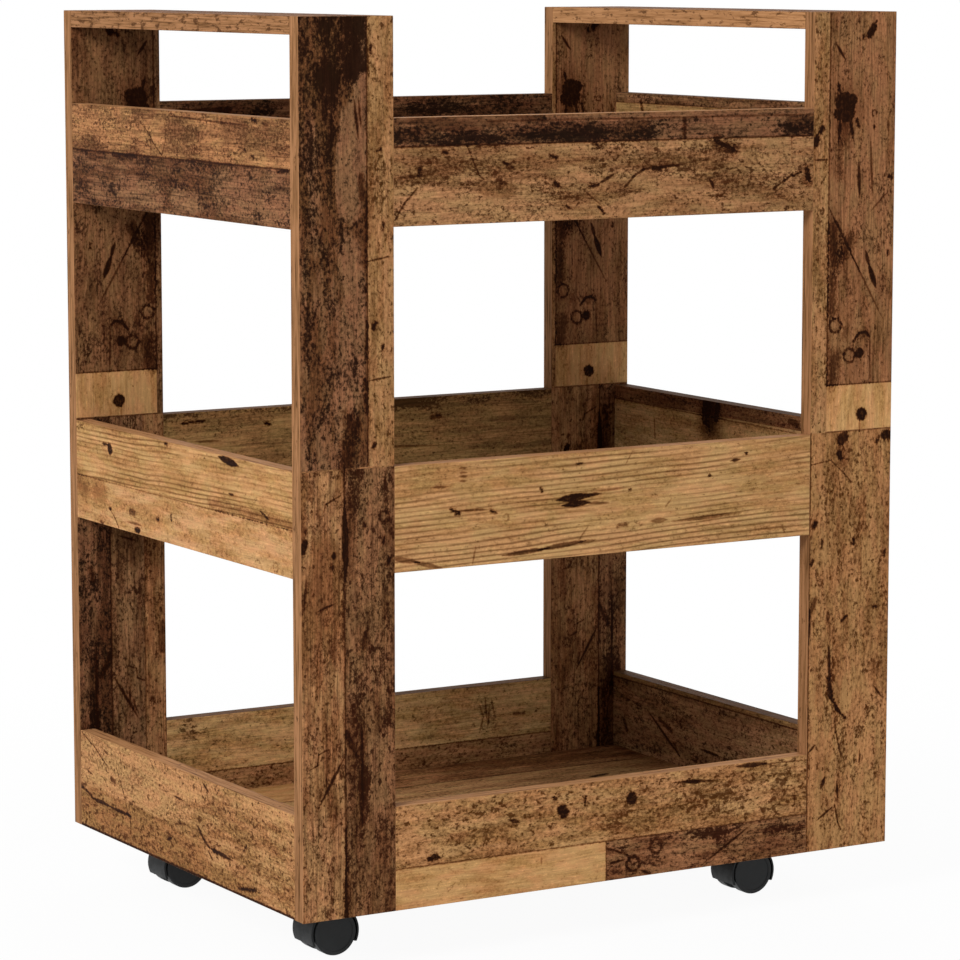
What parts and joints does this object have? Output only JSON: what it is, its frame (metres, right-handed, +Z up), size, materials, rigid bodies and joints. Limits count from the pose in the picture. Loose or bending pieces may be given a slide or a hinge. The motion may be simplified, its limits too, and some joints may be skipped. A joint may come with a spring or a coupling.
{
  "type": "kitchen cart",
  "caption": "Rectangular open kitchen cart of flat wooden boards: deep trays one above another between corner posts, board handles at both ends, on swivel twin-wheel casters.",
  "frame": {"origin": "on the floor under the centre of the cart's footprint", "axes": "+X to the right along the long side, +Y from the front to the back, +Z up"},
  "size_m": [0.6, 0.45, 0.8],
  "materials": {
    "post_boards": "old reclaimed-wood decor on engineered wood, satin, with fine grain, specks and scars",
    "rail_boards": "old reclaimed-wood decor on engineered wood, satin, with fine grain, specks and scars",
    "shelf_boards": "old reclaimed-wood decor on engineered wood, satin, with fine grain, specks and scars",
    "handle_boards": "old reclaimed-wood decor on engineered wood, satin, with fine grain, specks and scars",
    "dowels": "plain beech",
    "zinc_fasteners": "zinc plated",
    "caster_steel": "zinc plated",
    "caster_hoods": "fine moulded texture, black",
    "caster_wheels": "smooth satin, black"
  },
  "bodies": {
    "frame": {"front_left_post": "post_boards", "front_right_post": "post_boards", "rear_left_post": "post_boards", "rear_right_post": "post_boards", "left_handle": "handle_boards", "right_handle": "handle_boards", "bottom_shelf": "shelf_boards", "middle_shelf": "shelf_boards", "top_shelf": "shelf_boards", "bottom_front_rail": "rail_boards", "bottom_rear_rail": "rail_boards", "bottom_left_rail": "rail_boards", "bottom_right_rail": "rail_boards", "middle_front_rail": "rail_boards", "middle_rear_rail": "rail_boards", "middle_left_rail": "rail_boards", "middle_right_rail": "rail_boards", "top_front_rail": "rail_boards", "top_rear_rail": "rail_boards", "top_left_rail": "rail_boards", "top_right_rail": "rail_boards", "rail_dowels": "dowels", "handle_dowels": "dowels", "shelf_cam_bolts": "zinc_fasteners", "handle_cam_bolts": "zinc_fasteners", "shelf_cam_locks": "zinc_fasteners", "handle_cam_locks": "zinc_fasteners", "caster_screws": "zinc_fasteners", "caster_pin_clips": "zinc_fasteners", "front_left_caster_plate": "caster_steel", "front_right_caster_plate": "caster_steel", "rear_left_caster_plate": "caster_steel", "rear_right_caster_plate": "caster_steel", "front_left_caster_pin": "caster_steel", "front_right_caster_pin": "caster_steel", "rear_left_caster_pin": "caster_steel", "rear_right_caster_pin": "caster_steel"},
    "front_left_swivel": {"front_left_caster_hood": "caster_hoods", "front_left_caster_axle": "caster_steel"},
    "front_left_front_wheel": {"front_left_caster_front_wheel": "caster_wheels"},
    "front_left_rear_wheel": {"front_left_caster_rear_wheel": "caster_wheels"},
    "front_right_swivel": {"front_right_caster_hood": "caster_hoods", "front_right_caster_axle": "caster_steel"},
    "front_right_front_wheel": {"front_right_caster_front_wheel": "caster_wheels"},
    "front_right_rear_wheel": {"front_right_caster_rear_wheel": "caster_wheels"},
    "rear_left_swivel": {"rear_left_caster_hood": "caster_hoods", "rear_left_caster_axle": "caster_steel"},
    "rear_left_front_wheel": {"rear_left_caster_front_wheel": "caster_wheels"},
    "rear_left_rear_wheel": {"rear_left_caster_rear_wheel": "caster_wheels"},
    "rear_right_swivel": {"rear_right_caster_hood": "caster_hoods", "rear_right_caster_axle": "caster_steel"},
    "rear_right_front_wheel": {"rear_right_caster_front_wheel": "caster_wheels"},
    "rear_right_rear_wheel": {"rear_right_caster_rear_wheel": "caster_wheels"}
  },
  "joints": [
    {"name": "front_left_caster_swivel", "type": "hinge", "parent": "frame", "child": "front_left_swivel", "pos_m": [-0.217, -0.142, 0.045], "axis": [0, 0, 1], "continuous": true},
    {"name": "front_left_caster_front_wheel_roll", "type": "hinge", "parent": "front_left_swivel", "child": "front_left_front_wheel", "pos_m": [-0.234, -0.142, 0.02], "axis": [0, 1, 0], "continuous": true},
    {"name": "front_left_caster_rear_wheel_roll", "type": "hinge", "parent": "front_left_swivel", "child": "front_left_rear_wheel", "pos_m": [-0.234, -0.142, 0.02], "axis": [0, 1, 0], "continuous": true},
    {"name": "front_right_caster_swivel", "type": "hinge", "parent": "frame", "child": "front_right_swivel", "pos_m": [0.217, -0.142, 0.045], "axis": [0, 0, 1], "continuous": true},
    {"name": "front_right_caster_front_wheel_roll", "type": "hinge", "parent": "front_right_swivel", "child": "front_right_front_wheel", "pos_m": [0.2, -0.142, 0.02], "axis": [0, 1, 0], "continuous": true},
    {"name": "front_right_caster_rear_wheel_roll", "type": "hinge", "parent": "front_right_swivel", "child": "front_right_rear_wheel", "pos_m": [0.2, -0.142, 0.02], "axis": [0, 1, 0], "continuous": true},
    {"name": "rear_left_caster_swivel", "type": "hinge", "parent": "frame", "child": "rear_left_swivel", "pos_m": [-0.217, 0.142, 0.045], "axis": [0, 0, 1], "continuous": true},
    {"name": "rear_left_caster_front_wheel_roll", "type": "hinge", "parent": "rear_left_swivel", "child": "rear_left_front_wheel", "pos_m": [-0.234, 0.142, 0.02], "axis": [0, 1, 0], "continuous": true},
    {"name": "rear_left_caster_rear_wheel_roll", "type": "hinge", "parent": "rear_left_swivel", "child": "rear_left_rear_wheel", "pos_m": [-0.234, 0.142, 0.02], "axis": [0, 1, 0], "continuous": true},
    {"name": "rear_right_caster_swivel", "type": "hinge", "parent": "frame", "child": "rear_right_swivel", "pos_m": [0.217, 0.142, 0.045], "axis": [0, 0, 1], "continuous": true},
    {"name": "rear_right_caster_front_wheel_roll", "type": "hinge", "parent": "rear_right_swivel", "child": "rear_right_front_wheel", "pos_m": [0.2, 0.142, 0.02], "axis": [0, 1, 0], "continuous": true},
    {"name": "rear_right_caster_rear_wheel_roll", "type": "hinge", "parent": "rear_right_swivel", "child": "rear_right_rear_wheel", "pos_m": [0.2, 0.142, 0.02], "axis": [0, 1, 0], "continuous": true}
  ]
}
